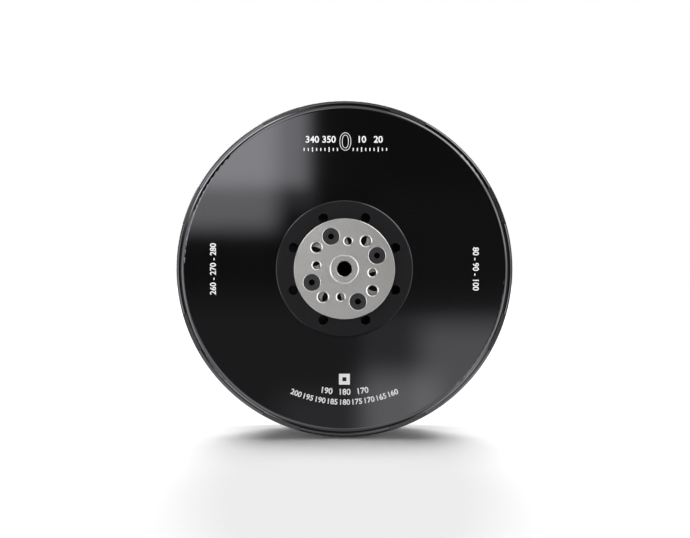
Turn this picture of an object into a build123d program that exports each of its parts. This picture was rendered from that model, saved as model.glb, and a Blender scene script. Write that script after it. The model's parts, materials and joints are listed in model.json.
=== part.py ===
from build123d import *
import math
import os

# Brushless outrunner motor of the flat, large-diameter kind.
#
# Every piece is drawn standing on its rear mounting face, with the spin axis as Z, so that a
# height is a distance forward of that face. facing_front() then lays the axis along -Y, which
# leaves +Z up and the output hub facing the viewer. All sizes are in millimetres, and all
# angles are in degrees, counted from +X towards the motor's top.

# ---- Driving dimensions -------------------------------------------------------------------

motor_diameter = 147.0
motor_length = 55.0
pole_count = 42
tooth_count = 36
phase_names = ("a", "b", "c")

# Fits and gaps
sliding_fit = 0.01
bond_line = 0.05
air_gap = 0.7

# Output hub and its screws
hub_radius = 21.5
hub_boss_radius = 19.0
hub_boss_bottom = 46.0
collar_top = 51.5
hub_edge_chamfer = 0.2
screw_circle = 30.0
screw_first_angle = 22.5
screw_head_radius = 3.6
screw_radius = 2.0
screw_clearance_radius = 2.4
screw_mouth_chamfer = 0.2
screw_length = 16.0
screw_sunk = 0.1
screw_head_rim = 0.25
screw_socket_flats = 2.5
screw_socket_depth = 2.0
large_tap_circle = 30.0
large_tap_first_angle = 52.5
large_tap_radius = 2.2
large_tap_chamfer = 0.5
small_tap_circle = 24.0
small_tap_first_angle = 82.5
small_tap_radius = 1.65
small_tap_chamfer = 0.5
tap_depth = 6.0
tap_chamfer_slope = 30.0
hub_pocket_circle = 28.4
hub_pocket_first_angle = 67.5
hub_pocket_radius = 4.2
hub_pocket_depth = 4.0

# Rotor cover
face_height = 48.5
web_underside = 45.5
clamp_underside = 43.0
collar_radius = 29.4
collar_chamfer = 0.6
collar_relief_width = 0.6
collar_relief_depth = 0.3
vent_circle = 47.4
vent_radius = 2.05
vent_count = 8
vent_first_angle = 22.5
bevel_inner_radius = 68.9
bevel_outer_radius = 71.0
bevel_round = 2.4
rim_line_width = 0.25
rim_line_depth = 0.4
rim_step = 0.25
rim_radius = 73.0
rim_round = 1.5
rim_bottom = 43.5
rim_inner_radius = 67.0
spigot_bottom = 37.5
window_angle = 13.7
window_top = 46.0
vane_count = 16
vane_inner_radius = 34.0
vane_outer_radius = 65.0
vane_thickness = 2.0
vane_bottom = 42.5
vane_sweep = 18.0

# Flux ring and magnets
flux_ring_thickness = 4.0
flux_ring_bottom = 8.0
flux_ring_chamfer = 0.4
magnet_inner_radius = 66.2
magnet_bottom = 13.5
magnet_top = 33.5
magnet_fill = 0.88

# Shaft
shaft_nose_radius = 6.0
seam_chamfer_width = 0.25
seam_chamfer_depth = 0.14
shaft_bore_radius = 3.25
shaft_bore_depth = 16.0
shaft_bore_chamfer = 0.3
shaft_flange_radius = 20.5
shaft_flange_bottom = 38.5
shaft_shoulder_radius = 9.1
journal_radius = 7.5
shaft_end_height = 0.4
shaft_end_chamfer = 0.4
shaft_centre_radius = 1.6

# Bearings, both the same size
bearing_radius = 14.0
bearing_width = 7.0
inner_race_radius = 9.2
outer_race_bore_radius = 12.3
ball_radius = 1.985
ball_count = 10
ball_play = 0.07
cage_half_thickness = 0.7
cage_height = 5.0
cage_play = 0.12
shield_thickness = 0.3
shield_bore_radius = 9.4
shield_seat_radius = 12.7
rear_bearing_bottom = 3.0
front_bearing_bottom = 31.0

# Rear bearing's retaining ring, shim and preload washer
circlip_thickness = 1.0
circlip_bottom = 1.5
circlip_groove_radius = 7.15
circlip_outer_radius = 9.1
circlip_gap_angle = 30.0
circlip_lug_radius = 1.6
circlip_eye_radius = 0.8
shim_thickness = 0.5
washer_thickness = 0.4
washer_sag = 0.8
washer_inner_radius = 12.4
washer_outer_radius = 13.8

# Stator base
tube_radius = 17.5
tube_bore_radius = 12.0
socket_radius = 20.5
socket_top = 14.0
pad_radius = 31.0
pad_thickness = 5.0
rib_count = 8
rib_first_angle = 22.5
rib_width = 5.0
rib_bottom = 1.5
rib_top = 9.0
mount_circle = 50.0
mount_count = 4
mount_first_angle = 45.0
mount_tap_radius = 2.5
mount_tap_depth = 9.5
mount_boss_radius = 5.0
mount_boss_top = 11.5
core_wall_inner_radius = 41.5
core_wall_radius = 45.0
core_wall_bottom = 3.0
core_wall_top = 33.0
core_lip_radius = 47.4
core_lip_thickness = 2.0

# Lead outlet, at the bottom of the base
outlet_angle = -90.0
outlet_distance = 36.0
outlet_length = 20.0
outlet_width = 8.0
outlet_plate_bottom = 1.5
outlet_plate_top = 6.0
grommet_wall = 1.2
grommet_lip = 0.8
grommet_lip_thickness = 0.8
lead_notch_width = 18.0
lead_notch_bottom = 6.8
lead_notch_top = 12.0

# Stator core, end insulators and windings
core_bottom = 14.5
core_top = 32.5
yoke_radius = 49.6
tooth_width = 4.6
shoe_root_radius = 62.9
shoe_tip_radius = 64.3
slot_opening = 2.0
insulator_thickness = 0.8
coil_inner_radius = 50.4
coil_outer_radius = 62.4
coil_angle = 9.5
coil_bottom = 9.6
coil_top = 37.4
coil_corner = 4.2
coil_block_width = 10.6
coil_liner = 0.25
coil_end_gap = 0.05
link_circle_radius = 48.9
link_wire_radius = 0.6
link_first_height = 12.9
link_spacing = 1.4
link_arc = 330.0

# ---- Sizes worked out from the driving dimensions ------------------------------------------

flux_ring_radius = motor_diameter / 2
flux_ring_bore_radius = flux_ring_radius - flux_ring_thickness
core_radius = magnet_inner_radius - air_gap
ball_circle_radius = (inner_race_radius + outer_race_bore_radius) / 2
washer_shoulder = rear_bearing_bottom + bearing_width + washer_thickness + washer_sag
cut_margin = 1.0


# ---- Helpers -------------------------------------------------------------------------------


def turned(*outline):
    """Solid of revolution about the spin axis, from (radius, height) corners."""
    return revolve(Plane.XZ * make_face(Polyline(*outline, close=True)), Axis.Z)


def ring(inner_radius, outer_radius, bottom, top):
    """Plain ring about the spin axis."""
    return Pos(0, 0, bottom) * extrude(Circle(outer_radius) - Circle(inner_radius), top - bottom)


def rod(radius, bottom, top):
    """Plain cylinder on the spin axis."""
    return Pos(0, 0, bottom) * extrude(Circle(radius), top - bottom)


def sector(inner_radius, outer_radius, angle, bottom, top):
    """Piece of a ring that spans an angle, centred on +X."""
    half = math.radians(angle / 2)
    reach = outer_radius / math.cos(half) + cut_margin
    edge = reach * math.tan(half)
    wedge = make_face(Polyline((0, 0), (reach, edge), (reach, -edge), close=True))
    flat = (Circle(outer_radius) - Circle(inner_radius)) & wedge
    return Pos(0, 0, bottom) * extrude(flat, top - bottom)


def spaced(item, count, first_angle, distance=0.0):
    """Copies of one item, evenly spaced about the spin axis."""
    step = 360.0 / count
    return [Rot(0, 0, first_angle + k * step) * Pos(distance, 0, 0) * item for k in range(count)]


def facing_front(shapes):
    """Lay the spin axis along -Y and return the solids as one shape."""
    solids = [solid for shape in shapes for solid in (Rot(90, 0, 0) * shape).solids()]
    return solids[0] if len(solids) == 1 else Compound(children=solids)


# ---- Output hub and its screws -------------------------------------------------------------


def tapped_hole(radius, chamfer):
    """Cutter for a flat-bottomed tapped hole in the hub's face, with a wide-angle countersink."""
    slope = math.tan(math.radians(tap_chamfer_slope))
    return turned(
        (0, motor_length - tap_depth),
        (radius, motor_length - tap_depth),
        (radius, motor_length - chamfer * slope),
        (radius + chamfer + cut_margin, motor_length + cut_margin * slope),
        (0, motor_length + cut_margin * slope),
    )


def countersunk_hole():
    """Cutter for one hub screw, a close fit around its head and clear of its thread."""
    rim_bottom_height = motor_length - screw_sunk - screw_head_rim
    head = screw_head_radius + 2 * sliding_fit
    mouth = head + screw_mouth_chamfer
    slope = math.tan(math.radians(tap_chamfer_slope))
    return turned(
        (0, clamp_underside - cut_margin),
        (screw_clearance_radius, clamp_underside - cut_margin),
        (screw_clearance_radius, rim_bottom_height - (head - screw_clearance_radius)),
        (head, rim_bottom_height),
        (head, motor_length - screw_mouth_chamfer * slope),
        (mouth + cut_margin, motor_length + cut_margin * slope),
        (0, motor_length + cut_margin * slope),
    )


def output_hub():
    """Stepped disc that the propeller bolts to; its boss sits in the cover's collar.

    Round pockets in its back, between the screws, lighten it and break into the tapped holes.
    """
    body = turned(
        (shaft_nose_radius, hub_boss_bottom),
        (hub_boss_radius - sliding_fit, hub_boss_bottom),
        (hub_boss_radius - sliding_fit, collar_top),
        (hub_radius, collar_top),
        (hub_radius, motor_length - hub_edge_chamfer),
        (hub_radius - hub_edge_chamfer, motor_length),
        (shaft_nose_radius + seam_chamfer_width, motor_length),
        (shaft_nose_radius, motor_length - seam_chamfer_depth),
    )
    pocket = rod(hub_pocket_radius, hub_boss_bottom - cut_margin, hub_boss_bottom + hub_pocket_depth)
    large = tapped_hole(large_tap_radius, large_tap_chamfer)
    small = tapped_hole(small_tap_radius, small_tap_chamfer)
    body -= spaced(countersunk_hole(), 4, screw_first_angle, screw_circle / 2)
    body -= spaced(large, 4, large_tap_first_angle, large_tap_circle / 2)
    body -= spaced(small, 4, small_tap_first_angle, small_tap_circle / 2)
    body -= spaced(pocket, 4, hub_pocket_first_angle, hub_pocket_circle / 2)
    return [body]


def hub_screws():
    """Four countersunk screws with a hexagonal socket, threads drawn at nominal size."""
    head_top = motor_length - screw_sunk
    rim_bottom_height = head_top - screw_head_rim
    thread_radius = screw_radius - 2 * sliding_fit
    tip = head_top - screw_length
    tip_chamfer = 0.4
    screw = turned(
        (0, tip),
        (thread_radius - tip_chamfer, tip),
        (thread_radius, tip + tip_chamfer),
        (thread_radius, rim_bottom_height - (screw_head_radius - thread_radius)),
        (screw_head_radius, rim_bottom_height),
        (screw_head_radius, head_top),
        (0, head_top),
    )
    socket = extrude(RegularPolygon(screw_socket_flats / 2, 6, major_radius=False), screw_socket_depth)
    screw -= Pos(0, 0, head_top - screw_socket_depth) * socket
    return spaced(screw, 4, screw_first_angle, screw_circle / 2)


# ---- Rotor cover, flux ring and magnets ----------------------------------------------------


def cover_outline():
    """Half section of the cover: collar, flat face, rounded edge, rounded rim and locating spigot."""
    full_turn = math.asin((bevel_outer_radius - bevel_inner_radius) / bevel_round)
    bevel_foot = face_height - bevel_round * (1 - math.cos(full_turn))
    line_bottom = bevel_foot - rim_line_depth
    line_outer = bevel_outer_radius + rim_line_width
    rim_top = bevel_foot - rim_step
    relief_outer = collar_radius + collar_relief_width
    relief_bottom = face_height - collar_relief_depth
    spigot_radius = flux_ring_bore_radius - sliding_fit
    front = Polyline(
        (shaft_nose_radius + sliding_fit, clamp_underside),
        (shaft_nose_radius + sliding_fit, hub_boss_bottom),
        (hub_boss_radius, hub_boss_bottom),
        (hub_boss_radius, collar_top),
        (collar_radius - collar_chamfer, collar_top),
        (collar_radius, collar_top - collar_chamfer),
        (collar_radius, relief_bottom),
        (relief_outer, relief_bottom),
        (relief_outer, face_height),
        (bevel_inner_radius, face_height),
    )
    bevel_centre = (bevel_inner_radius, face_height - bevel_round)
    bevel = CenterArc(bevel_centre, bevel_round, 90, -math.degrees(full_turn))
    step = Polyline(
        (bevel_outer_radius, bevel_foot),
        (bevel_outer_radius, line_bottom),
        (line_outer, line_bottom),
        (line_outer, rim_top),
        (rim_radius - rim_round, rim_top),
    )
    rim = CenterArc((rim_radius - rim_round, rim_top - rim_round), rim_round, 90, -90)
    back = Polyline(
        (rim_radius, rim_top - rim_round),
        (rim_radius, rim_bottom),
        (spigot_radius, rim_bottom),
        (spigot_radius, spigot_bottom),
        (rim_inner_radius, spigot_bottom),
        (rim_inner_radius, web_underside),
        (shaft_flange_radius + 0.5, web_underside),
        (shaft_flange_radius + 0.5, clamp_underside),
        (shaft_nose_radius + sliding_fit, clamp_underside),
    )
    return make_face(front.edges() + bevel.edges() + step.edges() + rim.edges() + back.edges())


def rim_windows():
    """Cutters for the windows in the rim, which leave the face's edge whole in front."""
    inner = rim_inner_radius - cut_margin
    line_middle = bevel_outer_radius + rim_line_width / 2
    under_face = sector(inner, flux_ring_radius, window_angle, rim_bottom, window_top)
    through_rim = sector(line_middle, flux_ring_radius, window_angle, rim_bottom, face_height)
    cutters = spaced(under_face, vent_count, vent_first_angle)
    return cutters + spaced(through_rim, vent_count, vent_first_angle)


def fan_vanes():
    """Swept vanes under the cover that move air through the windows."""
    length = vane_outer_radius - vane_inner_radius
    height = web_underside - vane_bottom + bond_line
    blade = Box(length, vane_thickness, height)
    middle = (vane_inner_radius + vane_outer_radius) / 2
    placed = Pos(middle, 0, vane_bottom + height / 2) * Rot(0, 0, vane_sweep) * blade
    return spaced(placed, vane_count, 0)


def rotor_cover():
    """One machined piece: the front of the rotor, with vents around the collar."""
    bottom = clamp_underside - cut_margin
    screw_clearance = rod(screw_clearance_radius, bottom, hub_boss_bottom + cut_margin)
    vent = rod(vent_radius, web_underside - cut_margin, collar_top + cut_margin)
    cover = revolve(Plane.XZ * cover_outline(), Axis.Z)
    cover += fan_vanes()
    cover -= rim_windows()
    cover -= spaced(screw_clearance, 4, screw_first_angle, screw_circle / 2)
    cover -= spaced(vent, vent_count, vent_first_angle, vent_circle / 2)
    return [cover]


def flux_ring():
    """Steel ring that carries the magnets and closes their magnetic circuit."""
    return [
        turned(
            (flux_ring_bore_radius, flux_ring_bottom),
            (flux_ring_radius - flux_ring_chamfer, flux_ring_bottom),
            (flux_ring_radius, flux_ring_bottom + flux_ring_chamfer),
            (flux_ring_radius, rim_bottom - flux_ring_chamfer),
            (flux_ring_radius - flux_ring_chamfer, rim_bottom),
            (flux_ring_bore_radius, rim_bottom),
        )
    ]


def rotor_magnets():
    """Curved magnets, one for each pole, bonded inside the flux ring."""
    angle = 360.0 / pole_count * magnet_fill
    outer = flux_ring_bore_radius - bond_line
    magnet = sector(magnet_inner_radius, outer, angle, magnet_bottom, magnet_top)
    return spaced(magnet, pole_count, 0)


# ---- Shaft and what is held on it ----------------------------------------------------------


def motor_shaft():
    """Flanged shaft: a nose through the hub, a flange under the cover and a long journal."""
    nose = shaft_nose_radius - sliding_fit
    journal = journal_radius - sliding_fit
    bore_bottom = motor_length - shaft_bore_depth
    drill_point = shaft_bore_radius / math.tan(math.radians(59))
    body = turned(
        (0, shaft_end_height + shaft_centre_radius),
        (shaft_centre_radius, shaft_end_height),
        (journal - shaft_end_chamfer, shaft_end_height),
        (journal, shaft_end_height + shaft_end_chamfer),
        (journal, circlip_bottom),
        (circlip_groove_radius, circlip_bottom),
        (circlip_groove_radius, circlip_bottom + circlip_thickness),
        (journal, circlip_bottom + circlip_thickness),
        (journal, front_bearing_bottom + bearing_width),
        (shaft_shoulder_radius, front_bearing_bottom + bearing_width),
        (shaft_shoulder_radius, shaft_flange_bottom),
        (shaft_flange_radius, shaft_flange_bottom),
        (shaft_flange_radius, clamp_underside),
        (nose, clamp_underside),
        (nose, motor_length - seam_chamfer_depth),
        (nose - seam_chamfer_width, motor_length),
        (shaft_bore_radius + shaft_bore_chamfer, motor_length),
        (shaft_bore_radius, motor_length - shaft_bore_chamfer),
        (shaft_bore_radius, bore_bottom),
        (0, bore_bottom - drill_point),
    )
    screw_hole = rod(screw_radius, shaft_flange_bottom - cut_margin, clamp_underside + cut_margin)
    return [body - spaced(screw_hole, 4, screw_first_angle, screw_circle / 2)]


def shaft_shim():
    """Thin ring between the rear bearing's inner race and the retaining ring."""
    bottom = rear_bearing_bottom - shim_thickness
    return [ring(journal_radius + bond_line, shaft_shoulder_radius, bottom, rear_bearing_bottom)]


def shaft_circlip():
    """Open retaining ring in the groove at the shaft's rear end, with two pliers eyes."""
    bottom = circlip_bottom
    top = circlip_bottom + circlip_thickness
    clip = ring(circlip_groove_radius + sliding_fit, circlip_outer_radius, bottom, top)
    inside = circlip_groove_radius - cut_margin
    clip -= sector(inside, circlip_outer_radius + cut_margin, circlip_gap_angle, bottom, top)
    lug_distance = circlip_outer_radius + circlip_lug_radius / 2
    lug_angle = circlip_gap_angle / 2 + 8
    for angle in (lug_angle, -lug_angle):
        place = Rot(0, 0, angle) * Pos(lug_distance, 0, 0)
        clip += place * rod(circlip_lug_radius, bottom, top)
        clip -= place * rod(circlip_eye_radius, bottom - cut_margin, top + cut_margin)
    return [clip]


# ---- Bearings ------------------------------------------------------------------------------


def ball_groove(bottom):
    """Cutter for the round groove that the balls run in."""
    middle = bottom + bearing_width / 2
    section = Pos(ball_circle_radius, middle) * Circle(ball_radius + ball_play)
    return revolve(Plane.XZ * section, Axis.Z)


def inner_race(bottom):
    """Bearing inner race, on the shaft."""
    top = bottom + bearing_width
    return [ring(journal_radius, inner_race_radius, bottom, top) - ball_groove(bottom)]


def outer_race(bottom):
    """Bearing outer race, in the base's tube, stepped at both ends for its shields."""
    top = bottom + bearing_width
    step = 2 * shield_thickness
    body = turned(
        (shield_seat_radius, bottom),
        (bearing_radius - sliding_fit, bottom),
        (bearing_radius - sliding_fit, top),
        (shield_seat_radius, top),
        (shield_seat_radius, top - step),
        (outer_race_bore_radius, top - step),
        (outer_race_bore_radius, bottom + step),
        (shield_seat_radius, bottom + step),
    )
    return [body - ball_groove(bottom)]


def bearing_shields(bottom):
    """The two thin covers of one bearing, each seated in the outer race's step."""
    top = bottom + bearing_width
    outer = shield_seat_radius - sliding_fit
    low = bottom + shield_thickness
    high = top - 2 * shield_thickness
    return [
        ring(shield_bore_radius, outer, low, low + shield_thickness),
        ring(shield_bore_radius, outer, high, high + shield_thickness),
    ]


def bearing_balls(bottom):
    """The balls of one bearing."""
    ball = Pos(ball_circle_radius, 0, bottom + bearing_width / 2) * Sphere(ball_radius)
    return spaced(ball, ball_count, 0)


def bearing_cage(bottom):
    """Ring with one round pocket for each ball, which keeps them apart."""
    middle = bottom + bearing_width / 2
    inner = ball_circle_radius - cage_half_thickness
    outer = ball_circle_radius + cage_half_thickness
    cage = ring(inner, outer, middle - cage_height / 2, middle + cage_height / 2)
    depth = outer - inner + 2 * cut_margin
    pocket = Pos(inner - cut_margin, 0, middle) * extrude(Plane.YZ * Circle(ball_radius + cage_play), depth)
    return [cage - spaced(pocket, ball_count, 0)]


def preload_washer():
    """Ring bent about one line, squeezed between the tube's shoulder and the rear bearing."""
    reach = washer_outer_radius
    bend_radius = (reach**2 + washer_sag**2) / (2 * washer_sag)
    bottom = rear_bearing_bottom + bearing_width
    centre = Pos(0, bottom + washer_sag - bend_radius)
    arched = centre * (Circle(bend_radius + washer_thickness) - Circle(bend_radius))
    slab = extrude(Plane.XZ * arched, reach + cut_margin, both=True)
    return [ring(washer_inner_radius, washer_outer_radius, bottom, washer_shoulder) & slab]


# ---- Stator base and lead outlet -----------------------------------------------------------


def at_outlet(item):
    """Put a piece drawn about its own origin at the lead outlet."""
    return Rot(0, 0, outlet_angle) * Pos(outlet_distance, 0, 0) * Rot(0, 0, 90) * item


def outlet_slab(grow, bottom, top):
    """Slot-shaped block of the outlet, grown all round by a distance."""
    shape = SlotOverall(outlet_length + 2 * grow, outlet_width + 2 * grow)
    return at_outlet(Pos(0, 0, bottom) * extrude(shape, top - bottom))


def bearing_tube():
    """Sleeve pressed into the base, with a pocket for a bearing at each end."""
    tube_top = front_bearing_bottom + bearing_width
    return [
        turned(
            (bearing_radius, 0),
            (tube_radius - sliding_fit, 0),
            (tube_radius - sliding_fit, tube_top),
            (bearing_radius, tube_top),
            (bearing_radius, front_bearing_bottom),
            (tube_bore_radius, front_bearing_bottom),
            (tube_bore_radius, washer_shoulder),
            (bearing_radius, washer_shoulder),
        )
    ]


def base_ribs(grow):
    """The base's ribs, made wider on both sides by a distance."""
    inner = (tube_radius + socket_radius) / 2
    outer = core_wall_inner_radius + cut_margin
    rib = Box(outer - inner, rib_width + 2 * grow, rib_top - rib_bottom)
    placed = Pos((inner + outer) / 2, 0, (rib_bottom + rib_top) / 2) * rib
    return spaced(placed, rib_count, rib_first_angle)


def stator_base():
    """One machined piece: mounting pad, socket for the bearing tube and ribs out to the carrier."""
    base = ring(tube_radius, pad_radius, 0, pad_thickness)
    base += ring(tube_radius, socket_radius, pad_thickness, socket_top)
    base += base_ribs(0)
    base &= rod(core_wall_inner_radius - bond_line, 0, socket_top)
    boss = rod(mount_boss_radius, pad_thickness - bond_line, mount_boss_top)
    base += spaced(boss, mount_count, mount_first_angle, mount_circle / 2)
    drill_point = mount_tap_radius / math.tan(math.radians(59))
    mount_hole = turned(
        (0, -cut_margin),
        (mount_tap_radius, -cut_margin),
        (mount_tap_radius, mount_tap_depth),
        (0, mount_tap_depth + drill_point),
    )
    base -= spaced(mount_hole, mount_count, mount_first_angle, mount_circle / 2)
    return [base]


def core_carrier():
    """Ring bonded around the ribs, lipped at the rear, that the stator core is bonded on."""
    carrier = turned(
        (core_wall_inner_radius, core_wall_bottom),
        (core_wall_radius, core_wall_bottom),
        (core_wall_radius, core_bottom - core_lip_thickness),
        (core_lip_radius, core_bottom - core_lip_thickness),
        (core_lip_radius, core_bottom),
        (core_wall_radius, core_bottom),
        (core_wall_radius, core_wall_top),
        (core_wall_inner_radius, core_wall_top),
    )
    notch_depth = core_lip_radius - core_wall_inner_radius + 2 * cut_margin
    notch = Box(notch_depth, lead_notch_width, lead_notch_top - lead_notch_bottom)
    notch_middle = (core_lip_radius + core_wall_inner_radius) / 2
    notch_height = (lead_notch_bottom + lead_notch_top) / 2
    return [carrier - Rot(0, 0, outlet_angle) * Pos(notch_middle, 0, notch_height) * notch]


def lead_outlet_plate():
    """Plate bonded in between two ribs of the base, with the slot that holds the grommet."""
    inner = pad_radius + bond_line
    outer = core_wall_inner_radius - bond_line
    angle = 360.0 / rib_count
    plate = Rot(0, 0, outlet_angle) * sector(inner, outer, angle, outlet_plate_bottom, outlet_plate_top)
    plate -= base_ribs(bond_line)
    return [plate - outlet_slab(0, outlet_plate_bottom - cut_margin, outlet_plate_top + cut_margin)]


def lead_grommet():
    """Rubber bush in the outlet slot, lipped on both sides, that the phase leads leave through."""
    lip_bottom = outlet_plate_bottom - grommet_lip_thickness
    lip_top = outlet_plate_top + grommet_lip_thickness
    body = outlet_slab(-bond_line, lip_bottom, lip_top)
    body += outlet_slab(grommet_lip, lip_bottom, outlet_plate_bottom)
    body += outlet_slab(grommet_lip, outlet_plate_top, lip_top)
    return [body - outlet_slab(-grommet_wall, lip_bottom - cut_margin, lip_top + cut_margin)]


# ---- Stator core, insulators and windings --------------------------------------------------


def core_shape(inner_radius, outer_radius):
    """Flat shape of the stator: a ring with T-shaped teeth pointing outwards."""
    shoe_half = (math.pi * outer_radius / tooth_count) - slot_opening / 2
    half = tooth_width / 2
    tooth = make_face(
        Polyline(
            (yoke_radius - cut_margin, half),
            (shoe_root_radius, half),
            (shoe_tip_radius, shoe_half),
            (outer_radius + cut_margin, shoe_half),
            (outer_radius + cut_margin, -shoe_half),
            (shoe_tip_radius, -shoe_half),
            (shoe_root_radius, -half),
            (yoke_radius - cut_margin, -half),
            close=True,
        )
    )
    teeth = Sketch() + spaced(tooth, tooth_count, 0)
    return (Circle(yoke_radius) - Circle(inner_radius)) + (teeth & Circle(outer_radius))


def stator_core():
    """Stack of steel laminations, bonded onto the base's wall."""
    shape = core_shape(core_wall_radius + bond_line, core_radius)
    return [Pos(0, 0, core_bottom) * extrude(shape, core_top - core_bottom)]


def end_insulator(bottom):
    """Thin insulating frame on one end of the core, in the core's shape."""
    shape = core_shape(core_lip_radius + bond_line, core_radius - bond_line)
    return [Pos(0, 0, bottom) * extrude(shape, insulator_thickness)]


def coil():
    """One winding around the tooth on +X, filling half of the slot on each side of it."""
    depth = coil_outer_radius - coil_inner_radius
    middle = (coil_inner_radius + coil_outer_radius) / 2
    outline = RectangleRounded(coil_block_width, coil_top - coil_bottom, coil_corner)
    block = Pos(coil_inner_radius, 0, (coil_bottom + coil_top) / 2) * extrude(Plane.YZ * outline, depth)
    half_slots = sector(
        coil_inner_radius - cut_margin, coil_outer_radius + cut_margin, coil_angle, 0, motor_length
    )
    opening_bottom = core_bottom - insulator_thickness - coil_end_gap
    opening_top = core_top + insulator_thickness + coil_end_gap
    opening = Box(depth + 2 * cut_margin, tooth_width + 2 * coil_liner, opening_top - opening_bottom)
    return (block & half_slots) - Pos(middle, 0, (opening_bottom + opening_top) / 2) * opening


def phase_windings(phase):
    """The coils of one phase, on every third tooth."""
    step = 360.0 / tooth_count
    return spaced(coil(), tooth_count // len(phase_names), phase * step)


def phase_link(phase):
    """Insulated wire around the rear of the core that joins the coils of one phase."""
    height = link_first_height - phase * link_spacing
    section = Plane.XZ * (Pos(link_circle_radius, height) * Circle(link_wire_radius))
    first_angle = outlet_angle + (360.0 - link_arc) / 2
    return [Rot(0, 0, first_angle) * revolve(section, Axis.Z, revolution_arc=link_arc)]


# ---- The motor -----------------------------------------------------------------------------


def motor_nodes():
    """Every node's name with its solids."""
    nodes = {
        "rotor_cover": rotor_cover(),
        "output_hub": output_hub(),
        "hub_screws": hub_screws(),
        "flux_ring": flux_ring(),
        "rotor_magnets": rotor_magnets(),
        "motor_shaft": motor_shaft(),
        "shaft_shim": shaft_shim(),
        "shaft_circlip": shaft_circlip(),
        "preload_washer": preload_washer(),
        "bearing_tube": bearing_tube(),
        "stator_base": stator_base(),
        "core_carrier": core_carrier(),
        "lead_outlet_plate": lead_outlet_plate(),
        "lead_grommet": lead_grommet(),
        "stator_core": stator_core(),
        "front_end_insulator": end_insulator(core_top),
        "rear_end_insulator": end_insulator(core_bottom - insulator_thickness),
    }
    for place, bottom in (("front", front_bearing_bottom), ("rear", rear_bearing_bottom)):
        nodes[place + "_bearing_inner_race"] = inner_race(bottom)
        nodes[place + "_bearing_outer_race"] = outer_race(bottom)
        nodes[place + "_bearing_shields"] = bearing_shields(bottom)
        nodes[place + "_bearing_balls"] = bearing_balls(bottom)
        nodes[place + "_bearing_cage"] = bearing_cage(bottom)
    for phase, letter in enumerate(phase_names):
        nodes["windings_phase_" + letter] = phase_windings(phase)
        nodes["phase_link_" + letter] = phase_link(phase)
    return nodes


os.makedirs("parts", exist_ok=True)
for name, shapes in motor_nodes().items():
    export_step(facing_front(shapes), "parts/" + name + ".step")
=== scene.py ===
import bmesh
import bpy
import json
import math
from mathutils import Matrix, Vector


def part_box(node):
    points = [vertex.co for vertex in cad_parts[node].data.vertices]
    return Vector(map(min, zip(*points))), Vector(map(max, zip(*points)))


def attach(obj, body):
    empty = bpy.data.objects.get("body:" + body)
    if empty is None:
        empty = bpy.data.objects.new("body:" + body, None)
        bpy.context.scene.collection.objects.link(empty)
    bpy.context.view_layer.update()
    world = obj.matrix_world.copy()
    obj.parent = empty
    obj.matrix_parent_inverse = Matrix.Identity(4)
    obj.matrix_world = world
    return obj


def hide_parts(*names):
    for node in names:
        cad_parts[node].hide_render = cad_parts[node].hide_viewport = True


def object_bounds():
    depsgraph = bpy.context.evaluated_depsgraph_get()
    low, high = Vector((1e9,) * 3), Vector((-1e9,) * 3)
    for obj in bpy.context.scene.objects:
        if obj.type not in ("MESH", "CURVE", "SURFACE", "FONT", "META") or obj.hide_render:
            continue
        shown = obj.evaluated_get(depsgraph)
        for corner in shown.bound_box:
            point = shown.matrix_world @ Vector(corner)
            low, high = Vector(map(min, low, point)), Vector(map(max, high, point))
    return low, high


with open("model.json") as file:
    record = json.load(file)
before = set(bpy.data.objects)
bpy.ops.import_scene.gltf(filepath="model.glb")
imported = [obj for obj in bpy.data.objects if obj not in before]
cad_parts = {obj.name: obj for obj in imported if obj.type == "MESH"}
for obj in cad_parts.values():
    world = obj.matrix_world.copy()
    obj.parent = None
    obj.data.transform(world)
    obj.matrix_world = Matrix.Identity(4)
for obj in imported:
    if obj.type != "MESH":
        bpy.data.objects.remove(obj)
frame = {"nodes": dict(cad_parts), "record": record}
cad_low, cad_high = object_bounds()

# Sizes are in metres, and angles in degrees. The motor's axis is the Y axis and its output
# hub faces -Y. An angle around the motor is counted from +X towards the top, and a clock angle
# from the top towards +X.

MM = 0.001

# ---- Reading the frame ---------------------------------------------------------------------


def distance_from_axis(point):
    """How far a point is from the motor's axis."""
    return math.hypot(point.x, point.z)


def node_points(name):
    """The corners of a CAD node's mesh."""
    return [vertex.co for vertex in frame["nodes"][name].data.vertices]


def mount(name):
    """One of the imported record's mounts."""
    return next(entry for entry in frame["record"]["mounts"] if entry["name"] == name)


# ---- Building node trees -------------------------------------------------------------------


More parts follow.
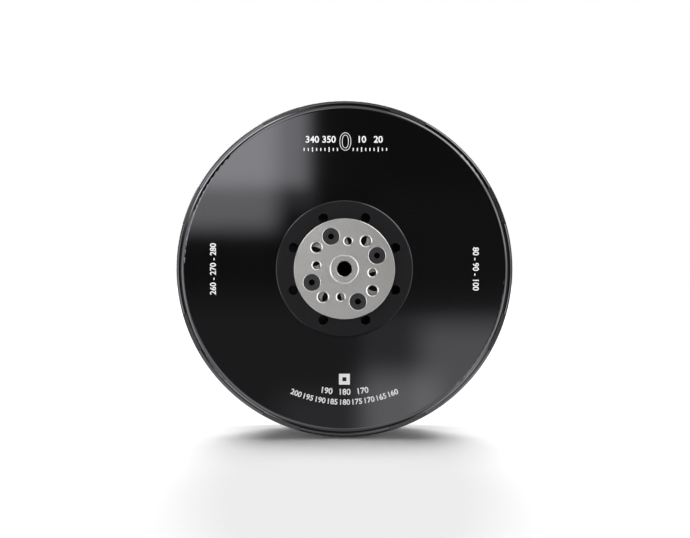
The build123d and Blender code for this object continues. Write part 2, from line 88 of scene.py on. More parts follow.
class Tree:
    """Short forms for building a node tree. Each call adds one node and returns its output."""

    def __init__(self, tree):
        self.tree = tree

    def node(self, kind, **settings):
        made = self.tree.nodes.new(kind)
        for name, value in settings.items():
            setattr(made, name, value)
        return made

    def feed(self, socket, value):
        """Link an output to a socket, or set a plain value on it."""
        if isinstance(value, bpy.types.NodeSocket):
            self.tree.links.new(value, socket)
        else:
            socket.default_value = value

    def math(self, operation, first, second=0.0):
        made = self.node("ShaderNodeMath", operation=operation)
        self.feed(made.inputs[0], first)
        self.feed(made.inputs[1], second)
        return made.outputs[0]

    def smooth_step(self, value, low, high, result_low=0.0, result_high=1.0):
        """A smooth change from one result to another as the value goes from low to high."""
        made = self.node("ShaderNodeMapRange", interpolation_type="SMOOTHSTEP")
        for index, entry in enumerate((value, low, high, result_low, result_high)):
            self.feed(made.inputs[index], entry)
        return made.outputs[0]

    def object_point(self):
        """The point on the surface in the object's own frame."""
        return self.node("ShaderNodeTexCoord").outputs["Object"]

    def parts(self, vector):
        """X, Y and Z of a vector."""
        made = self.node("ShaderNodeSeparateXYZ")
        self.feed(made.inputs[0], vector)
        return made.outputs

    def axis_radius(self):
        """Distance of the surface point from the motor's axis."""
        x, _, z = self.parts(self.object_point())
        x_squared = self.math("MULTIPLY", x, x)
        z_squared = self.math("MULTIPLY", z, z)
        return self.math("SQRT", self.math("ADD", x_squared, z_squared))

    def depth(self):
        """Position of the surface point along the motor's axis."""
        return self.parts(self.object_point())[1]

    def noise(self, vector, scale, detail=3.0):
        made = self.node("ShaderNodeTexNoise")
        self.feed(made.inputs["Vector"], vector)
        made.inputs["Scale"].default_value = scale
        made.inputs["Detail"].default_value = detail
        return made.outputs[0]

    def colour_mix(self, share, first, second):
        made = self.node("ShaderNodeMix", data_type="RGBA")
        self.feed(made.inputs["Factor"], share)
        self.feed(made.inputs["A"], (*first, 1.0) if isinstance(first, tuple) else first)
        self.feed(made.inputs["B"], (*second, 1.0) if isinstance(second, tuple) else second)
        return made.outputs["Result"]

    def bump(self, height, depth, strength=1.0):
        """A normal disturbed by a height from 0 to 1 that stands for a depth in metres."""
        made = self.node("ShaderNodeBump")
        made.inputs["Strength"].default_value = strength
        made.inputs["Distance"].default_value = depth
        self.feed(made.inputs["Height"], height)
        return made.outputs[0]


def new_material(name, metallic, **sockets):
    """A Principled material with its uniform values set, its tree and its shader."""
    material = bpy.data.materials.new(name)
    material.use_nodes = True
    shader = material.node_tree.nodes["Principled BSDF"]
    shader.inputs["Metallic"].default_value = metallic
    for socket, value in sockets.items():
        shader.inputs[socket.replace("_", " ")].default_value = value
    return material, Tree(material.node_tree), shader


# ---- Materials -----------------------------------------------------------------------------


def gloss_black_cover():
    """Black hard-anodised disc: a mirror-like face, and a matt collar around the hub."""
    collar_edge = 29.25 * MM
    cool_tint = (0.95, 0.93, 1.0, 1.0)
    material, tree, face = new_material("gloss_black_cover", 0.0, Specular_Tint=cool_tint)
    collar = tree.node("ShaderNodeBsdfPrincipled")
    collar.inputs["Specular IOR Level"].default_value = 0.1
    radius = tree.axis_radius()
    on_face = tree.smooth_step(radius, collar_edge - 0.15 * MM, collar_edge)
    speckle = tree.noise(tree.object_point(), 900.0, detail=4.0)
    cloud = tree.noise(tree.object_point(), 35.0)
    tone = tree.colour_mix(cloud, (0.0009, 0.0009, 0.001), (0.0014, 0.0014, 0.0016))
    tree.feed(face.inputs["Base Color"], tone)
    tree.feed(face.inputs["Roughness"], tree.smooth_step(cloud, 0.3, 0.7, 0.042, 0.054))
    collar_tone = tree.colour_mix(speckle, (0.0028, 0.0028, 0.0034), (0.006, 0.006, 0.0068))
    tree.feed(collar.inputs["Base Color"], collar_tone)
    tree.feed(collar.inputs["Roughness"], tree.smooth_step(speckle, 0.3, 0.7, 0.4, 0.5))
    turning = tree.node("ShaderNodeTexWave", wave_type="BANDS", bands_direction="X")
    along = tree.node("ShaderNodeCombineXYZ")
    tree.feed(along.inputs[0], radius)
    tree.feed(turning.inputs["Vector"], along.outputs[0])
    turning.inputs["Scale"].default_value = 800.0
    turning.inputs["Distortion"].default_value = 0.6
    tree.feed(face.inputs["Normal"], tree.bump(turning.outputs["Fac"], 0.0003 * MM, 0.3))
    mixed = tree.node("ShaderNodeMixShader")
    tree.feed(mixed.inputs[0], on_face)
    tree.feed(mixed.inputs[1], collar.outputs[0])
    tree.feed(mixed.inputs[2], face.outputs[0])
    tree.feed(material.node_tree.nodes["Material Output"].inputs["Surface"], mixed.outputs[0])
    return material


def blasted_metal(name, tone, roughness, grain_depth, shade_depth=None, shade_radius=1.0):
    """Bare metal with a fine, even, blasted grain and slight clouding.

    With a shade depth, the colour is painted black from there on inwards, within the shade radius:
    painted shade deep in holes and bores.
    """
    material, tree, shader = new_material(name, 1.0)
    grain = tree.noise(tree.object_point(), 5200.0, detail=2.0)
    cloud = tree.noise(tree.object_point(), 90.0)
    dark = tuple(0.95 * channel for channel in tone)
    light = tuple(1.03 * channel for channel in tone)
    colour = tree.colour_mix(cloud, dark, light)
    # Painted shade: near-black colour deep inside the tapped holes and the shaft's bore, where
    # little light gets in.
    if shade_depth is not None:
        beyond_shade_depth = tree.smooth_step(tree.depth(), shade_depth - 0.2 * MM, shade_depth)
        radius = tree.axis_radius()
        within = tree.smooth_step(radius, shade_radius - 0.1 * MM, shade_radius, 1.0, 0.0)
        painted_shade_mask = tree.math("MULTIPLY", beyond_shade_depth, within)
        colour = tree.colour_mix(painted_shade_mask, colour, (0.004, 0.004, 0.004))
    gloss = tree.smooth_step(grain, 0.25, 0.75, roughness - 0.05, roughness + 0.05)
    tree.feed(shader.inputs["Base Color"], colour)
    tree.feed(shader.inputs["Roughness"], gloss)
    tree.feed(shader.inputs["Normal"], tree.bump(grain, grain_depth))
    return material


def turned_metal(name, tone, roughness, groove_depth):
    """Bare metal turned on a lathe, with fine grooves that run around the axis."""
    material, tree, shader = new_material(name, 1.0)
    profile = tree.node("ShaderNodeCombineXYZ")
    tree.feed(profile.inputs[0], tree.axis_radius())
    tree.feed(profile.inputs[1], tree.depth())
    grooves = tree.noise(profile.outputs[0], 6000.0, detail=2.0)
    stain = tree.noise(tree.object_point(), 140.0)
    dark = tuple(0.8 * channel for channel in tone)
    gloss = tree.smooth_step(grooves, 0.3, 0.7, roughness, roughness + 0.12)
    tree.feed(shader.inputs["Base Color"], tree.colour_mix(stain, dark, tone))
    tree.feed(shader.inputs["Roughness"], gloss)
    tree.feed(shader.inputs["Normal"], tree.bump(grooves, groove_depth))
    return material


def coated_black(name, tone, roughness, grain, grain_depth, specular=0.5, shade_depth=None):
    """Black coating over metal, evenly textured and a little worn.

    With a shade depth, it is painted black from there on inwards, with the metallic setting turned
    up so that almost no light comes back: painted shade deep in hollows.
    """
    material, tree, shader = new_material(name, 0.0, Specular_IOR_Level=specular)
    texture = tree.noise(tree.object_point(), grain, detail=4.0)
    cloud = tree.noise(tree.object_point(), 60.0)
    worn = tuple(1.7 * channel for channel in tone)
    colour = tree.colour_mix(cloud, tone, worn)
    # Painted shade: past the shade depth the colour goes black and Metallic rises with the same
    # mask, so the hollow looks unlit.
    if shade_depth is not None:
        beyond_shade_depth = tree.smooth_step(tree.depth(), shade_depth - 0.3 * MM, shade_depth)
        colour = tree.colour_mix(beyond_shade_depth, colour, (0.001, 0.001, 0.001))
        tree.feed(shader.inputs["Metallic"], beyond_shade_depth)
    gloss = tree.smooth_step(cloud, 0.25, 0.75, roughness - 0.06, roughness + 0.06)
    tree.feed(shader.inputs["Base Color"], colour)
    tree.feed(shader.inputs["Roughness"], gloss)
    tree.feed(shader.inputs["Normal"], tree.bump(texture, grain_depth))
    return material


def laminated_steel():
    """Edges of thin steel sheets stacked along the axis, under a thin brown varnish."""
    sheet = 0.35 * MM
    material, tree, shader = new_material("laminated_steel", 0.85)
    share = tree.math("FRACT", tree.math("DIVIDE", tree.depth(), sheet))
    from_middle = tree.math("ABSOLUTE", tree.math("SUBTRACT", share, 0.5))
    seam = tree.math("MULTIPLY", from_middle, 2.0)
    stain = tree.noise(tree.object_point(), 260.0)
    metal = tree.colour_mix(stain, (0.2, 0.19, 0.18), (0.36, 0.34, 0.32))
    gap = tree.smooth_step(seam, 0.75, 0.98)
    tree.feed(shader.inputs["Base Color"], tree.colour_mix(gap, metal, (0.04, 0.03, 0.025)))
    tree.feed(shader.inputs["Roughness"], tree.smooth_step(stain, 0.3, 0.7, 0.34, 0.52))
    tree.feed(shader.inputs["Normal"], tree.bump(gap, -0.03 * MM))
    return material


def enamelled_copper():
    """Copper wire under a clear red-brown enamel, with small changes from turn to turn."""
    material, tree, shader = new_material(
        "enamelled_copper", 0.9, Coat_Weight=1.0, Coat_Roughness=0.12, Coat_IOR=1.5
    )
    patch = tree.noise(tree.object_point(), 420.0)
    drift = tree.noise(tree.object_point(), 60.0)
    bright = tree.colour_mix(patch, (0.42, 0.13, 0.045), (0.66, 0.25, 0.1))
    tree.feed(shader.inputs["Base Color"], tree.colour_mix(drift, bright, (0.5, 0.17, 0.06)))
    tree.feed(shader.inputs["Roughness"], tree.smooth_step(patch, 0.3, 0.7, 0.24, 0.38))
    tree.feed(shader.inputs["Normal"], tree.bump(patch, 0.02 * MM, 0.4))
    return material


def moulded(name, tone, roughness, grain_depth):
    """Moulded plastic or rubber with a fine moulded grain."""
    material, tree, shader = new_material(name, 0.0)
    grain = tree.noise(tree.object_point(), 2600.0, detail=4.0)
    cloud = tree.noise(tree.object_point(), 120.0)
    light = tuple(1.35 * channel + 0.004 for channel in tone)
    gloss = tree.smooth_step(grain, 0.2, 0.8, roughness - 0.07, roughness + 0.07)
    tree.feed(shader.inputs["Base Color"], tree.colour_mix(cloud, tone, light))
    tree.feed(shader.inputs["Roughness"], gloss)
    tree.feed(shader.inputs["Normal"], tree.bump(grain, grain_depth))
    return material


def braided_sleeve():
    """Woven glass-fibre sleeve: two sets of fine slanting threads that cross."""
    material, tree, shader = new_material("braided_sleeve", 0.0, Sheen_Weight=0.2)
    x, y, z = tree.parts(tree.object_point())
    around = tree.math("ARCTAN2", z, x)
    slant = tree.math("MULTIPLY", around, 190.0)
    rise = tree.math("MULTIPLY", y, 3800.0)
    one = tree.math("SINE", tree.math("ADD", slant, rise))
    other = tree.math("SINE", tree.math("SUBTRACT", slant, rise))
    weave = tree.smooth_step(tree.math("MULTIPLY", one, other), -0.8, 0.8)
    tone = tree.colour_mix(weave, (0.2, 0.16, 0.1), (0.62, 0.55, 0.42))
    tree.feed(shader.inputs["Base Color"], tone)
    tree.feed(shader.inputs["Roughness"], tree.smooth_step(weave, 0.0, 1.0, 0.85, 0.65))
    tree.feed(shader.inputs["Normal"], tree.bump(weave, 0.06 * MM))
    return material


def printed_ink():
    """White screen-printed ink, slightly uneven in tone and gloss."""
    material, tree, shader = new_material("printed_ink", 0.0)
    speckle = tree.noise(tree.object_point(), 3000.0)
    tone = tree.colour_mix(speckle, (0.72, 0.72, 0.72), (0.84, 0.84, 0.84))
    tree.feed(shader.inputs["Base Color"], tone)
    tree.feed(shader.inputs["Roughness"], tree.smooth_step(speckle, 0.3, 0.7, 0.45, 0.6))
    return material


def paper_floor():
    """White studio floor with a barely visible tooth."""
    material, tree, shader = new_material("paper_floor", 0.0, Specular_IOR_Level=0.0)
    tooth = tree.noise(tree.object_point(), 500.0)
    tone = tree.colour_mix(tooth, (0.93, 0.93, 0.93), (0.97, 0.97, 0.97))
    tree.feed(shader.inputs["Base Color"], tone)
    shader.inputs["Roughness"].default_value = 1.0
    return material


# The tapped holes, the shaft's bore and the screws' sockets get painted shade: they are painted
# black from these depths on.
tapped_hole_shade_depth = -48.8 * MM
shaft_bore_shade_depth = -54.4 * MM
shaft_bore_shade_radius = 3.4 * MM
socket_shade_depth = -54.5 * MM

hub_metal = blasted_metal(
    "hub_metal", (0.305, 0.299, 0.293), 0.3, 0.004 * MM, tapped_hole_shade_depth
)
shaft_metal = blasted_metal(
    "shaft_steel", (0.32, 0.314, 0.307), 0.28, 0.003 * MM, shaft_bore_shade_depth, shaft_bore_shade_radius
)
black_oxide = coated_black(
    "black_oxide", (0.011, 0.011, 0.012), 0.34, 4000.0, 0.003 * MM, 0.25, socket_shade_depth
)
base_black = coated_black("base_black", (0.008, 0.008, 0.009), 0.38, 2600.0, 0.006 * MM)
bearing_steel = turned_metal("bearing_steel", (0.62, 0.62, 0.62), 0.16, 0.001 * MM)
spring_steel = turned_metal("spring_steel", (0.34, 0.33, 0.32), 0.3, 0.002 * MM)
wire_enamel = enamelled_copper()
link_sleeve = braided_sleeve()
insulator = moulded("insulator", (0.012, 0.05, 0.032), 0.45, 0.01 * MM)
cage_plastic = moulded("cage_plastic", (0.42, 0.33, 0.19), 0.42, 0.005 * MM)

node_materials = {
    "rotor_cover": gloss_black_cover(),
    "output_hub": hub_metal,
    "hub_screws": black_oxide,
    "flux_ring": coated_black("flux_ring_black", (0.006, 0.006, 0.007), 0.3, 1800.0, 0.004 * MM),
    "rotor_magnets": blasted_metal("magnet_nickel", (0.58, 0.57, 0.53), 0.3, 0.002 * MM),
    "motor_shaft": shaft_metal,
    "shaft_shim": spring_steel,
    "shaft_circlip": spring_steel,
    "preload_washer": spring_steel,
    "front_bearing_inner_race": bearing_steel,
    "rear_bearing_inner_race": bearing_steel,
    "front_bearing_outer_race": bearing_steel,
    "rear_bearing_outer_race": bearing_steel,
    "front_bearing_balls": bearing_steel,
    "rear_bearing_balls": bearing_steel,
    "front_bearing_shields": bearing_steel,
    "rear_bearing_shields": bearing_steel,
    "front_bearing_cage": cage_plastic,
    "rear_bearing_cage": cage_plastic,
    "stator_base": base_black,
    "core_carrier": base_black,
    "lead_outlet_plate": base_black,
    "bearing_tube": turned_metal("tube_aluminium", (0.56, 0.56, 0.56), 0.3, 0.002 * MM),
    "lead_grommet": moulded("grommet_rubber", (0.012, 0.012, 0.012), 0.7, 0.01 * MM),
    "stator_core": laminated_steel(),
    "front_end_insulator": insulator,
    "rear_end_insulator": insulator,
    "windings_phase_a": wire_enamel,
    "windings_phase_b": wire_enamel,
    "windings_phase_c": wire_enamel,
    "phase_link_a": link_sleeve,
    "phase_link_b": link_sleeve,
    "phase_link_c": link_sleeve,
}
for node_name, node_material in node_materials.items():
    node_mesh = frame["nodes"][node_name].data
    node_mesh.materials.clear()
    node_mesh.materials.append(node_material)


# ---- Making pieces -------------------------------------------------------------------------


def add_piece(name, mesh, material, body):
    """Put a mesh in the scene as a piece that rides on a CAD body."""
    piece = bpy.data.objects.new(name, mesh)
    bpy.context.scene.collection.objects.link(piece)
    mesh.materials.clear()
    mesh.materials.append(material)
    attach(piece, body)
    return piece


def around_axis(angle):
    """Turn about the motor's axis, from +X towards the top."""
    return Matrix.Rotation(math.radians(-angle), 4, "Y")


def repeated(mesh, places):
    """One mesh holding a copy of another at each of several places."""
    joined = bmesh.new()
    for place in places:
        copy = mesh.copy()
        copy.transform(place)
        joined.from_mesh(copy)
        bpy.data.meshes.remove(copy)
    result = bpy.data.meshes.new(mesh.name + "_set")
    joined.to_mesh(result)
    joined.free()
    return result


def smooth(mesh):
    """Shade a mesh smoothly."""
    for polygon in mesh.polygons:
        polygon.use_smooth = True
    return mesh


def tube_along(name, points, radius):
    """Capped mesh tube along a line of points."""
    curve = bpy.data.curves.new(name, "CURVE")
    curve.dimensions = "3D"
    curve.bevel_depth = radius
    curve.bevel_resolution = 1
    curve.use_fill_caps = True
    spline = curve.splines.new("POLY")
    spline.points.add(len(points) - 1)
    for target, point in zip(spline.points, points):
        target.co = (*point, 1.0)
    holder = bpy.data.objects.new(name, curve)
    mesh = bpy.data.meshes.new_from_object(holder)
    bpy.data.objects.remove(holder)
    bpy.data.curves.remove(curve)
    return mesh


# ---- Windings ------------------------------------------------------------------------------

wire_radius = 0.375 * MM
wire_layers = 3
turn_pitch = 0.79 * MM
tooth_half_width = 2.3 * MM
liner = 0.25 * MM
coil_inner_radius = 50.4 * MM
coil_half_straight = 9.85 * MM
end_rise = 1.5 * MM
coils_per_phase = 12
tooth_step = 10.0
half_gap_angle = 0.25
arc_steps = 7


def coil_path(outer, front, rear, link_y, link_radius):
    """The wire's line in one coil: layers of turns wound around the tooth on +X.

    The turns run around the tooth in the tangent direction and along the axis. Each one moves
    on by one pitch while it crosses the rear end: outwards in the first layer, inwards in the
    next, and so on.
    """
    middle = (front + rear) / 2
    start = coil_inner_radius + wire_radius
    stop = outer - wire_radius
    across_first = tooth_half_width + liner + wire_radius
    room = math.tan(math.radians(tooth_step / 2 - half_gap_angle))
    points = []
    for layer in range(wire_layers):
        across = across_first + layer * 2 * wire_radius
        rise = end_rise + layer * 2 * wire_radius
        layer_start = max(start, (across + wire_radius) / room)
        turns = int((stop - layer_start) / turn_pitch)
        for turn in range(turns):
            out = stop - turn * turn_pitch if layer % 2 else layer_start + turn * turn_pitch
            step = -turn_pitch if layer % 2 else turn_pitch
            for index in range(arc_steps):
                angle = math.pi * index / (arc_steps - 1)
                along = middle - coil_half_straight - rise * math.sin(angle)
                points.append((out, along, -across * math.cos(angle)))
            for index in range(arc_steps):
                share = index / (arc_steps - 1)
                angle = math.pi * share
                crossing = out + step * (share * share * (3 - 2 * share))
                along = middle + coil_half_straight + rise * math.sin(angle)
                points.append((crossing, along, across * math.cos(angle)))
    lead = [(link_radius, link_y, -across_first), (start, link_y + wire_radius, -across_first)]
    return lead + points


def windings(letter):
    """The coils of one phase, wound turn by turn, in place of their plain CAD solids."""
    node = "windings_phase_" + letter
    link = node_points("phase_link_" + letter)
    link_radii = [distance_from_axis(point) for point in link]
    link_radius = (min(link_radii) + max(link_radii)) / 2
    link_y = (min(point.y for point in link) + max(point.y for point in link)) / 2
    outer = max(map(distance_from_axis, node_points(node)))
    low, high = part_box(node)
    path = coil_path(outer, low.y, high.y, link_y, link_radius)
    one = tube_along("coil_" + letter, path, wire_radius)
    first = "abc".index(letter) * tooth_step
    step = 360.0 / coils_per_phase
    mesh = repeated(one, [around_axis(first + k * step) for k in range(coils_per_phase)])
    piece = add_piece("wound_coils_" + letter, smooth(mesh), wire_enamel, "stator")
    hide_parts(node)


for phase_letter in "abc":
    windings(phase_letter)


# ---- Threads in the tapped holes -----------------------------------------------------------

tap_depth = 6.0 * MM
countersink = 0.3 * MM
thread_sides = 24
ridge_half_width = 0.42
fade_steps = 6


def thread_mesh(name, root, crest, pitch, depth):
    """The ridge of a tapped hole's thread: a helix of triangular section on the hole's wall.

    Its section's half width is a share of the pitch, and it fades in and out over a few steps.
    """
    turns = depth / pitch - 1.0
    steps = int(turns * thread_sides)
    thread = bmesh.new()
    previous = None
    for index in range(steps + 1):
        angle = 2 * math.pi * index / thread_sides
        middle = pitch * (0.5 + index / thread_sides)
        fade = min(1.0, index / fade_steps, (steps - index) / fade_steps)
        tip = root + (crest - root) * fade
        section = []
        for radius, shift in ((root, -ridge_half_width), (tip, 0.0), (root, ridge_half_width)):
            place = (radius * math.cos(angle), middle + shift * pitch, radius * math.sin(angle))
            section.append(thread.verts.new(place))
        if previous:
            for near, far in ((0, 1), (1, 2), (2, 0)):
                thread.faces.new((previous[near], previous[far], section[far], section[near]))
        else:
            thread.faces.new(section)
        previous = section
    thread.faces.new(previous[::-1])
    mesh = bpy.data.meshes.new(name)
    thread.to_mesh(mesh)
    thread.free()
    return mesh


def hub_threads(name, bolt_circle, first_angle, pitch, ridge):
    """Threads for the four tapped holes of one bolt circle."""
    entry = mount(bolt_circle)
    root = entry["dims"]["hole_r_mm"] * MM
    face = entry["pos_m"][1]
    one = thread_mesh(name, root, root - ridge, pitch, tap_depth - countersink)
    radius = entry["dims"]["pcd_mm"] * MM / 2
    moves = []
    for k in range(4):
        lift = Matrix.Translation((radius, face + countersink, 0.0))
        moves.append(around_axis(first_angle + 90.0 * k) @ lift)
    add_piece(name, repeated(one, moves), hub_metal, "rotor")


hub_threads("large_threads", "hub_bolts_large", 52.5, 0.8 * MM, 0.16 * MM)
hub_threads("small_threads", "hub_bolts_small", 82.5, 0.7 * MM, 0.14 * MM)


# ---- Printed scales on the cover -----------------------------------------------------------

ink_height = 0.03 * MM
print_face = -48.5 * MM
digit_share = 0.7
scale_ink = printed_ink()
stand_up = Matrix.Rotation(math.radians(90.0), 4, "X")


def on_face(clock, radius, turn):
    """Place for a flat mark drawn in XY: its origin goes to a clock angle and radius."""
    outward = Matrix.Translation((0.0, print_face, radius))
    spin = Matrix.Rotation(math.radians(turn), 4, "Y")
    return Matrix.Rotation(math.radians(clock), 4, "Y") @ outward @ spin @ stand_up


def upright(right, up):
    """Place for an upright flat mark drawn in XY, to the right of the axis and above it."""
    return Matrix.Translation((right, print_face, up)) @ stand_up


def numeral(text, height, outline=0.0, weight=0.07 * MM):
    """Mesh of a number of a given height, centred on its origin.

    An outline leaves it hollow. The weight is how far a solid one's strokes are widened.
    """
    curve = bpy.data.curves.new("number", "FONT")
    curve.body = text
    curve.align_x = "CENTER"
    curve.align_y = "CENTER"
    curve.size = height / digit_share
    curve.resolution_u = 6
    if outline:
        curve.fill_mode = "NONE"
        curve.bevel_depth = outline
        curve.bevel_resolution = 1
    else:
        curve.extrude = ink_height / 2
        curve.offset = weight
    holder = bpy.data.objects.new("number", curve)
    mesh = bpy.data.meshes.new_from_object(holder)
    bpy.data.objects.remove(holder)
    bpy.data.curves.remove(curve)
    return mesh


def bar(width, height):
    """Mesh of one upright printed bar, centred on its origin."""
    shape = bmesh.new()
    bmesh.ops.create_cube(shape, size=1.0)
    bmesh.ops.scale(shape, vec=(width, height, ink_height), verts=shape.verts)
    mesh = bpy.data.meshes.new("bar")
    shape.to_mesh(mesh)
    shape.free()
    return mesh


class Print:
    """Marks gathered into one printed piece."""

    def __init__(self):
        self.joined = bmesh.new()

    def add(self, mesh, place):
        mesh.transform(place)
        self.joined.from_mesh(mesh)
        bpy.data.meshes.remove(mesh)

    def finish(self, name):
        mesh = bpy.data.meshes.new(name)
        self.joined.to_mesh(mesh)
        self.joined.free()
        add_piece(name, mesh, scale_ink, "rotor")


def top_scale():
    """Zero mark at the top: a large hollow zero, with numbers over a row of ticks at each side."""
    middle = 0.4 * MM
    first_tick = 3.4 * MM
    tick_step = 1.8 * MM
    tick_width = 0.45 * MM
    tick_row = 51.6 * MM
    marks = Print()
    marks.add(numeral("0", 7.6 * MM, outline=0.13 * MM), upright(middle, 54.6 * MM))
    for right, label in ((-13.9, "340"), (-6.7, "350"), (7.4, "10"), (14.6, "20")):
        number = numeral(label, 2.8 * MM, weight=0.08 * MM)
        marks.add(number, upright(right * MM, 55.8 * MM))
    for side in (-1, 1):
        for index in range(9):
            height = (2.0 if index % 4 == 2 else 1.3) * MM
            right = middle + side * (first_tick + tick_step * index)
            marks.add(bar(tick_width, height), upright(right, tick_row))
    marks.finish("scale_top")


def side_scale(name, clock, label):
    """Quarter mark at one side: numbers in a straight row that reads along the rim."""
    marks = Print()
    marks.add(numeral(label, 2.5 * MM), on_face(clock, 56.6 * MM, 0.0))
    marks.finish(name)


def bottom_scale():
    """Half-turn mark at the bottom: a square index mark over two curved rows of numbers."""
    square_up = -47.6 * MM
    marks = Print()
    for shift in (-1.6 * MM, 1.6 * MM):
        marks.add(bar(1.5 * MM, 4.7 * MM), upright(shift, square_up))
        marks.add(bar(1.7 * MM, 1.5 * MM), upright(0.0, square_up + shift))
    for turn, label in ((8.4, "190"), (0.0, "180"), (-8.4, "170")):
        marks.add(numeral(label, 2.5 * MM), on_face(180.0 + turn, 53.2 * MM, 180.0))
    for index in range(-4, 5):
        number = numeral(str(180 + 5 * index), 2.3 * MM)
        marks.add(number, on_face(180.0 + 5.3 * index, 57.6 * MM, 180.0))
    marks.finish("scale_bottom")


top_scale()
side_scale("scale_right", 90.0, "80 - 90 - 100")
side_scale("scale_left", -90.0, "260 - 270 - 280")
bottom_scale()


# ---- Floor, light and camera ---------------------------------------------------------------

floor_half = 4.0
camera_distance = 462.3 * MM
camera_right = 0.25 * MM
camera_down = 0.02 * MM
focal_length = 50.0
sensor_width = 36.0


def studio_floor():
    """Wide white floor that the motor's rim stands on."""
    floor_mesh = bpy.data.meshes.new("studio_floor")
    grid = bmesh.new()
    bmesh.ops.create_grid(grid, x_segments=8, y_segments=8, size=floor_half)
    grid.to_mesh(floor_mesh)
    grid.free()
    floor_mesh.materials.append(paper_floor())
    floor = bpy.data.objects.new("studio_floor", floor_mesh)
    floor.location = (0.0, 0.0, cad_low.z)
    floor.visible_glossy = False
    bpy.context.scene.collection.objects.link(floor)


class StudioWorld:
    """The surroundings: white behind the motor, and a dark studio with soft lamps in its gloss."""

    def __init__(self, dim_room):
        world = bpy.data.worlds.new("studio")
        bpy.context.scene.world = world
        world.use_nodes = True
        world.node_tree.nodes.clear()
        self.tree = Tree(world.node_tree)
        self.direction = self.tree.node("ShaderNodeTexCoord").outputs["Generated"]
        x, y, z = self.tree.parts(self.direction)
        toward = self.tree.math("MAXIMUM", self.tree.math("MULTIPLY", y, -1.0), 0.001)
        self.across = self.tree.math("DIVIDE", x, toward)
        self.up = self.tree.math("DIVIDE", z, toward)
        self.in_front = self.tree.math("GREATER_THAN", toward, 0.3)
        self.total = dim_room

    def add(self, light):
        self.total = self.tree.math("ADD", self.total, light)

    def panel(self, left, right, bottom, top, blur, strength):
        """Soft-edged panel in front of the motor; its sides are tangents of angles off the axis."""
        tree = self.tree
        mask = self.in_front
        for value, low, high in ((self.across, left, right), (self.up, bottom, top)):
            past_low = tree.smooth_step(value, low - blur, low + blur)
            mask = tree.math("MULTIPLY", mask, past_low)
            short_of_high = tree.smooth_step(value, high - blur, high + blur, 1.0, 0.0)
            mask = tree.math("MULTIPLY", mask, short_of_high)
        self.add(tree.math("MULTIPLY", mask, strength))

    def lamp(self, clock, off_axis, size, softness, strength):
        """Round soft lamp at a clock angle from the top and an angle off the front of the axis."""
        turn = math.radians(clock)
        tilt = math.radians(off_axis)
        side = math.sin(tilt)
        aim = (side * math.sin(turn), -math.cos(tilt), side * math.cos(turn))
        dot = self.tree.node("ShaderNodeVectorMath", operation="DOT_PRODUCT")
        self.tree.feed(dot.inputs[0], self.direction)
        dot.inputs[1].default_value = aim
        outside = math.cos(math.radians(size + softness))
        inside = math.cos(math.radians(max(size - softness, 0.0)))
        mask = self.tree.smooth_step(dot.outputs["Value"], outside, inside)
        self.add(self.tree.math("MULTIPLY", mask, strength))

    def finish(self, behind, on_matt):
        """White for the camera, an even light for matt surfaces, and the lamps for gloss."""
        tree = self.tree
        path = tree.node("ShaderNodeLightPath")
        gloss = tree.node("ShaderNodeMix", data_type="FLOAT")
        tree.feed(gloss.inputs["Factor"], path.outputs["Is Glossy Ray"])
        tree.feed(gloss.inputs["A"], on_matt)
        tree.feed(gloss.inputs["B"], self.total)
        seen = tree.node("ShaderNodeMix", data_type="FLOAT")
        tree.feed(seen.inputs["Factor"], path.outputs["Is Camera Ray"])
        tree.feed(seen.inputs["A"], gloss.outputs["Result"])
        tree.feed(seen.inputs["B"], behind)
        background = tree.node("ShaderNodeBackground")
        background.inputs["Color"].default_value = (1.0, 1.0, 1.0, 1.0)
        tree.feed(background.inputs["Strength"], seen.outputs["Result"])
        output = tree.node("ShaderNodeOutputWorld")
        tree.feed(output.inputs["Surface"], background.outputs[0])


reach = 0.25

# Left, right, bottom, top, blur and strength. The sides and the blur are tangents of angles off
# the axis.
panels = (
    # Upper left: a tall window and a wide one that cross, with a dim fringe inside the corner.
    (-reach, -0.0385, 0.086, reach, 0.012, 3.0),
    (-reach, -0.072, 0.042, reach, 0.016, 2.75),
    (-0.075, -0.030, 0.062, reach, 0.013, 0.45),
    # Right: a faint glow, and lower down three softer, dimmer windows that overlap.
    (0.030, reach, -0.020, 0.085, 0.020, 0.035),
    (0.079, reach, -reach, -0.058, 0.022, 1.4),
    (0.018, 0.095, -reach, -0.110, 0.022, 2.0),
    (0.018, reach, -reach, -0.048, 0.010, 0.3),
    # Lower half: a faint glow.
    (-reach, reach, -reach, -0.030, 0.030, 0.17),
    (-0.07, 0.015, -reach, -0.130, 0.020, 0.3),
)

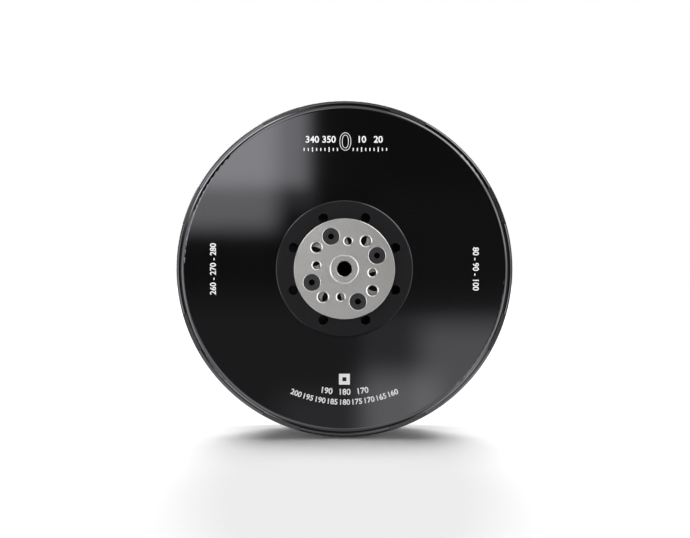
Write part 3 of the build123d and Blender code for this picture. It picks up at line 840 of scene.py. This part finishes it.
# Clock angle, angle off the front of the axis, size, softness and strength.
lamps = (
    # Around the front, where they light the start of the rounded edge.
    (315.0, 31.0, 13.0, 4.0, 5.0),
    (292.0, 40.0, 9.0, 5.0, 4.0),
    (338.0, 40.0, 10.0, 5.0, 3.4),
    (146.0, 31.0, 12.0, 6.0, 2.2),
    (180.0, 19.0, 6.0, 3.0, 2.2),
    (218.0, 31.0, 13.0, 6.0, 2.2),
    # Around the sides, where they light the rest of it.
    (358.0, 66.0, 28.0, 8.0, 1.9),
    (38.0, 82.0, 19.0, 7.0, 7.0),
    (64.0, 70.0, 20.0, 8.0, 3.6),
    (92.0, 68.0, 24.0, 8.0, 2.2),
    (116.0, 64.0, 20.0, 8.0, 2.6),
    (140.0, 60.0, 14.0, 8.0, 2.0),
    (180.0, 52.0, 24.0, 8.0, 1.1),
    (240.0, 58.0, 30.0, 8.0, 2.0),
    (268.0, 70.0, 24.0, 8.0, 2.6),
    (315.0, 108.0, 22.0, 8.0, 8.0),
    (136.0, 106.0, 14.0, 8.0, 4.5),
    (220.0, 106.0, 14.0, 8.0, 4.5),
    # Behind the motor.
    (0.0, 160.0, 14.0, 8.0, 2.4),
    (300.0, 158.0, 16.0, 6.0, 4.0),
)


def sun(name, toward, softness, strength):
    """Sun that only lights matt surfaces, seen in a given direction and as wide as its softness."""
    lamp = bpy.data.lights.new(name, "SUN")
    lamp.energy = strength
    lamp.angle = math.radians(softness)
    holder = bpy.data.objects.new(name, lamp)
    holder.rotation_mode = "QUATERNION"
    holder.rotation_quaternion = Vector(toward).to_track_quat("Z", "Y")
    holder.visible_camera = False
    holder.visible_glossy = False
    bpy.context.scene.collection.objects.link(holder)


def studio_lighting():
    """Lamps as the motor's gloss shows them, and suns that light the floor and the matt parts."""
    studio = StudioWorld(dim_room=0.085)
    for panel in panels:
        studio.panel(*panel)
    for lamp in lamps:
        studio.lamp(*lamp)
    studio.finish(behind=1.0, on_matt=0.17)
    sun("overhead_left", (-0.51, 0.16, 1.0), 28.0, 1.1)
    sun("overhead_right", (0.51, 0.16, 1.0), 28.0, 1.1)
    sun("from_behind", (0.0, 2.14, 1.0), 30.0, 4.2)
    sun("side_left", (-2.75, 0.0, 1.0), 30.0, 0.45)
    sun("side_right", (2.75, 0.0, 1.0), 30.0, 0.45)
    sun("from_front", (0.05, -1.0, 0.0), 6.0, 1.9)


def studio_camera():
    """Camera on the motor's axis, looking straight at the output hub."""
    camera_data = bpy.data.cameras.new("camera")
    camera_data.lens = focal_length
    camera_data.sensor_width = sensor_width
    camera_data.clip_start = 0.01
    camera = bpy.data.objects.new("camera", camera_data)
    camera.location = (camera_right, -camera_distance, -camera_down)
    camera.rotation_euler = (math.radians(90.0), 0.0, 0.0)
    bpy.context.scene.collection.objects.link(camera)
    bpy.context.scene.camera = camera


studio_floor()
studio_lighting()
studio_camera()
bpy.context.scene.view_settings.view_transform = "Standard"
bpy.context.scene.view_settings.look = "None"
